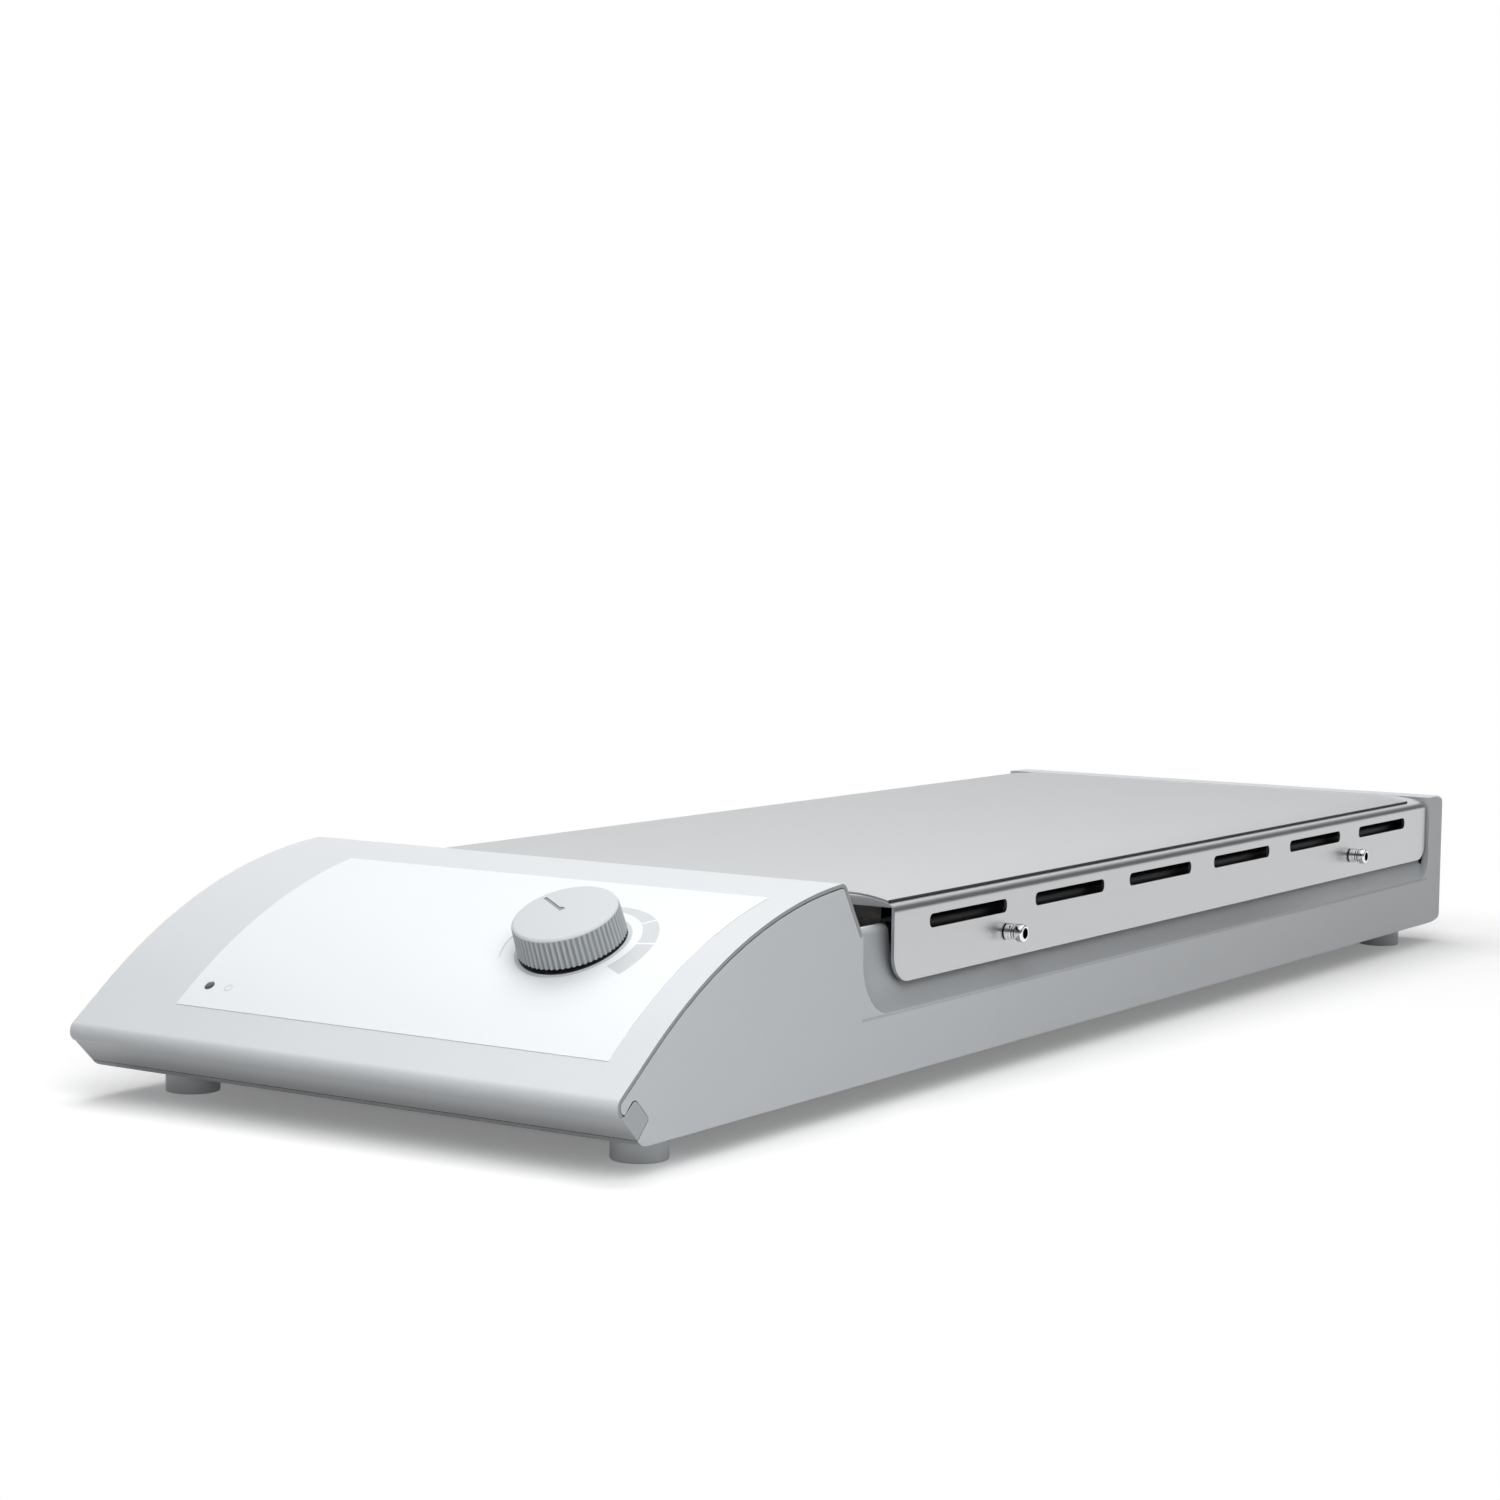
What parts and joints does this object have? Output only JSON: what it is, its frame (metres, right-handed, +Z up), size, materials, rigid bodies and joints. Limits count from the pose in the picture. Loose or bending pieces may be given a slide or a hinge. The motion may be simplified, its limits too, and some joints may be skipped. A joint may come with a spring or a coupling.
{
  "type": "multi-position magnetic stirrer",
  "caption": "Long flat bench magnetic stirrer with two rows of stirring positions, a sloping console with one speed knob, a covered steel work plate and slotted side flanges.",
  "frame": {"origin": "on the bench under the middle of the instrument", "axes": "+X to the right seen from the console, +Y from the console to the rear, +Z up"},
  "size_m": [0.1924, 0.552, 0.0638],
  "materials": {
    "housing_paint": "satin grey powder coat",
    "console_paint": "satin light grey powder coat",
    "overlay_membrane": "matt printed membrane",
    "plate_stainless": "fine ground stainless steel",
    "plate_silicone": "matt silicone film",
    "foot_rubber": "matt grey rubber",
    "polished_chrome": "polished",
    "knob_plastic": "fine matt",
    "dark_plastic": "black moulded",
    "lamp_plastic": "smoked clear",
    "zinc_steel": "zinc plated",
    "circuit_board": "green solder resist",
    "rotor_plastic": "moulded white",
    "magnet_nickel": "nickel plated magnet",
    "motor_lamination": "stacked laminations",
    "coil_tape": "amber insulating tape",
    "belt_rubber": "round black belt",
    "inlet_brass": "bright",
    "harness_sleeve": "black sleeve"
  },
  "bodies": {
    "housing": {"base_housing": "housing_paint", "front_sill": "housing_paint", "console_cover": "console_paint", "console_overlay": "overlay_membrane", "work_plate": "plate_stainless", "silicone_film": "plate_silicone", "power_lamp": "lamp_plastic", "dial_potentiometer": "zinc_steel", "dial_nut": "zinc_steel", "control_board": "circuit_board", "rotor_deck": "zinc_steel", "motor_stack": "motor_lamination", "motor_coil": "coil_tape", "motor_bracket_upper": "zinc_steel", "motor_bracket_lower": "zinc_steel", "drive_belt": "belt_rubber", "mains_inlet": "dark_plastic", "inlet_pin_line": "inlet_brass", "inlet_pin_earth": "inlet_brass", "inlet_pin_neutral": "inlet_brass", "fuse_holder": "dark_plastic", "switch_frame": "dark_plastic", "mains_harness": "harness_sleeve", "foot_front_left": "foot_rubber", "foot_screw_front_left": "zinc_steel", "plate_stud_front_left": "polished_chrome", "foot_front_right": "foot_rubber", "foot_screw_front_right": "zinc_steel", "plate_stud_front_right": "polished_chrome", "foot_rear_left": "foot_rubber", "foot_screw_rear_left": "zinc_steel", "plate_stud_rear_left": "polished_chrome", "foot_rear_right": "foot_rubber", "foot_screw_rear_right": "zinc_steel", "plate_stud_rear_right": "polished_chrome"},
    "control_knob": {"speed_knob": "knob_plastic", "knob_shaft": "zinc_steel"},
    "switch_rocker": {"rocker_switch": "dark_plastic"},
    "motor_shaft": {"motor_rotor": "motor_lamination", "drive_pulley": "rotor_plastic"},
    "rotor_01": {"rotor_pulley_01": "rotor_plastic", "rotor_magnet_01": "magnet_nickel"},
    "rotor_02": {"rotor_pulley_02": "rotor_plastic", "rotor_magnet_02": "magnet_nickel"},
    "rotor_03": {"rotor_pulley_03": "rotor_plastic", "rotor_magnet_03": "magnet_nickel"},
    "rotor_04": {"rotor_pulley_04": "rotor_plastic", "rotor_magnet_04": "magnet_nickel"},
    "rotor_05": {"rotor_pulley_05": "rotor_plastic", "rotor_magnet_05": "magnet_nickel"},
    "rotor_06": {"rotor_pulley_06": "rotor_plastic", "rotor_magnet_06": "magnet_nickel"},
    "rotor_07": {"rotor_pulley_07": "rotor_plastic", "rotor_magnet_07": "magnet_nickel"},
    "rotor_08": {"rotor_pulley_08": "rotor_plastic", "rotor_magnet_08": "magnet_nickel"},
    "rotor_09": {"rotor_pulley_09": "rotor_plastic", "rotor_magnet_09": "magnet_nickel"},
    "rotor_10": {"rotor_pulley_10": "rotor_plastic", "rotor_magnet_10": "magnet_nickel"}
  },
  "joints": [
    {"name": "speed_knob_turn", "type": "hinge", "parent": "housing", "child": "control_knob", "pos_m": [0.044, -0.23095, 0.0509], "axis": [0, -0.4098, 0.9122], "range_deg": [-180, 60]},
    {"name": "mains_rocker_tip", "type": "hinge", "parent": "housing", "child": "switch_rocker", "pos_m": [0.005, 0.2715, 0.032], "axis": [1, 0, 0], "range_deg": [0, 16]},
    {"name": "motor_turn", "type": "hinge", "parent": "housing", "child": "motor_shaft", "pos_m": [0, -0.194, 0.04], "axis": [0, 0, 1], "continuous": true},
    {"name": "rotor_01_turn", "type": "hinge", "parent": "housing", "child": "rotor_01", "pos_m": [0.045, -0.1025, 0.04], "axis": [0, 0, 1], "continuous": true},
    {"name": "rotor_02_turn", "type": "hinge", "parent": "housing", "child": "rotor_02", "pos_m": [0.045, -0.0225, 0.04], "axis": [0, 0, 1], "continuous": true},
    {"name": "rotor_03_turn", "type": "hinge", "parent": "housing", "child": "rotor_03", "pos_m": [0.045, 0.0575, 0.04], "axis": [0, 0, 1], "continuous": true},
    {"name": "rotor_04_turn", "type": "hinge", "parent": "housing", "child": "rotor_04", "pos_m": [0.045, 0.1375, 0.04], "axis": [0, 0, 1], "continuous": true},
    {"name": "rotor_05_turn", "type": "hinge", "parent": "housing", "child": "rotor_05", "pos_m": [0.045, 0.2175, 0.04], "axis": [0, 0, 1], "continuous": true},
    {"name": "rotor_06_turn", "type": "hinge", "parent": "housing", "child": "rotor_06", "pos_m": [-0.045, 0.2175, 0.04], "axis": [0, 0, 1], "continuous": true},
    {"name": "rotor_07_turn", "type": "hinge", "parent": "housing", "child": "rotor_07", "pos_m": [-0.045, 0.1375, 0.04], "axis": [0, 0, 1], "continuous": true},
    {"name": "rotor_08_turn", "type": "hinge", "parent": "housing", "child": "rotor_08", "pos_m": [-0.045, 0.0575, 0.04], "axis": [0, 0, 1], "continuous": true},
    {"name": "rotor_09_turn", "type": "hinge", "parent": "housing", "child": "rotor_09", "pos_m": [-0.045, -0.0225, 0.04], "axis": [0, 0, 1], "continuous": true},
    {"name": "rotor_10_turn", "type": "hinge", "parent": "housing", "child": "rotor_10", "pos_m": [-0.045, -0.1025, 0.04], "axis": [0, 0, 1], "continuous": true}
  ],
  "couplings": [
    {"joint": "rotor_01_turn", "follows": "motor_turn", "ratio": 0.4348},
    {"joint": "rotor_02_turn", "follows": "motor_turn", "ratio": -0.4348},
    {"joint": "rotor_03_turn", "follows": "motor_turn", "ratio": 0.4348},
    {"joint": "rotor_04_turn", "follows": "motor_turn", "ratio": -0.4348},
    {"joint": "rotor_05_turn", "follows": "motor_turn", "ratio": 0.4348},
    {"joint": "rotor_06_turn", "follows": "motor_turn", "ratio": 0.4348},
    {"joint": "rotor_07_turn", "follows": "motor_turn", "ratio": -0.4348},
    {"joint": "rotor_08_turn", "follows": "motor_turn", "ratio": 0.4348},
    {"joint": "rotor_09_turn", "follows": "motor_turn", "ratio": -0.4348},
    {"joint": "rotor_10_turn", "follows": "motor_turn", "ratio": 0.4348}
  ]
}
